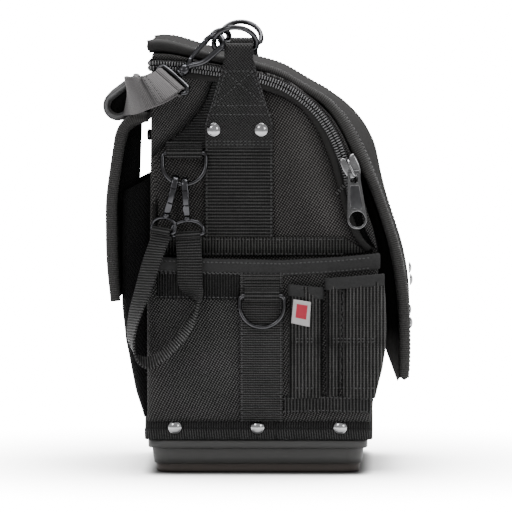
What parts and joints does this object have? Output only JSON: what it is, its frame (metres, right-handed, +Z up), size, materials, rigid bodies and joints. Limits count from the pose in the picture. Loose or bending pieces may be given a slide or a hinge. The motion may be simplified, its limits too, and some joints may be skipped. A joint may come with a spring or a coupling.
{
  "type": "tool pouch",
  "caption": "Tall zipped work pouch of black woven nylon on a moulded foot, with open pockets, front and back flaps, D-rings, a carrying strap and a webbing lanyard.",
  "frame": {"origin": "middle of the flat underside of the base tray", "axes": "+Z up, +X towards the front flap, -Y towards the side with the zip slider and the lanyard"},
  "size_m": [0.2354, 0.2604, 0.3413],
  "materials": {
    "nylon": "coarse ballistic weave",
    "webbing": "ribbed webbing",
    "padding": "smooth padded cloth",
    "tape": "ribbed tape",
    "strap": "light flat webbing",
    "plastic": "moulded, matt",
    "tag": "woven, plain",
    "gunmetal": "black nickel, polished",
    "nickel": "polished"
  },
  "bodies": {
    "pouch": {"body_shell": "nylon", "side_pocket_near": "nylon", "side_pocket_far": "nylon", "loop_pocket_rear": "nylon", "loop_pocket_front": "nylon", "back_pocket": "nylon", "base_band": "webbing", "side_strap_near": "webbing", "side_strap_far": "webbing", "ring_tab": "webbing", "pocket_strip": "webbing", "pocket_ring_tab": "webbing", "lanyard_web": "webbing", "lid": "padding", "cover_flap": "padding", "back_flap": "padding", "strap_grip": "padding", "zip_chain": "tape", "side_hem_near": "tape", "side_hem_far": "tape", "pocket_hem_near": "tape", "pocket_hem_far": "tape", "strap_web": "strap", "base_tray": "plastic", "tag": "tag", "top_ring_near": "gunmetal", "top_ring_far": "gunmetal", "tab_ring": "gunmetal", "back_knob": "gunmetal", "zip_slider": "gunmetal", "strap_hook_near": "gunmetal", "strap_eye_near": "gunmetal", "strap_hook_far": "gunmetal", "lanyard_hook_left": "gunmetal", "lanyard_eye_left": "gunmetal", "lanyard_hook_right": "gunmetal", "lanyard_eye_right": "gunmetal", "base_rivet_back_near": "nickel", "base_rivet_middle_near": "nickel", "base_rivet_front_near": "nickel", "base_rivet_back_far": "nickel", "base_rivet_middle_far": "nickel", "base_rivet_front_far": "nickel", "flap_rivet_upper_near": "nickel", "flap_rivet_lower_near": "nickel", "flap_rivet_upper_far": "nickel", "flap_rivet_lower_far": "nickel", "strap_rivet_back_near": "nickel", "strap_rivet_front_near": "nickel", "strap_rivet_back_far": "nickel", "strap_rivet_front_far": "nickel"},
    "pull": {"zip_pull": "gunmetal"},
    "hanging_ring": {"pocket_ring": "gunmetal"},
    "strap_gate": {"strap_gate_near": "gunmetal"},
    "left_gate": {"lanyard_gate_left": "gunmetal"},
    "right_gate": {"lanyard_gate_right": "gunmetal"}
  },
  "joints": [
    {"name": "pull_swing", "type": "hinge", "parent": "pouch", "child": "pull", "pos_m": [0.0726, -0.104, 0.2297], "axis": [-1, 0, 0], "range_deg": [0, 110]},
    {"name": "ring_swing", "type": "hinge", "parent": "pouch", "child": "hanging_ring", "pos_m": [0.0036, -0.1158, 0.136], "axis": [-1, 0, 0], "range_deg": [0, 150]},
    {"name": "strap_gate_turn", "type": "hinge", "parent": "pouch", "child": "strap_gate", "pos_m": [-0.04972, -0.10375, 0.31744], "axis": [0.2907, 0.7703, -0.5675], "range_deg": [0, 16], "stiffness_Nm_per_rad": 0.02},
    {"name": "left_gate_turn", "type": "hinge", "parent": "pouch", "child": "left_gate", "pos_m": [-0.06627, -0.11418, 0.20753], "axis": [-0.9704, 0, 0.2413], "range_deg": [0, 25], "stiffness_Nm_per_rad": 0.02},
    {"name": "right_gate_turn", "type": "hinge", "parent": "pouch", "child": "right_gate", "pos_m": [-0.05421, -0.11449, 0.2056], "axis": [-0.9982, 0, -0.0605], "range_deg": [0, 25], "stiffness_Nm_per_rad": 0.02}
  ]
}
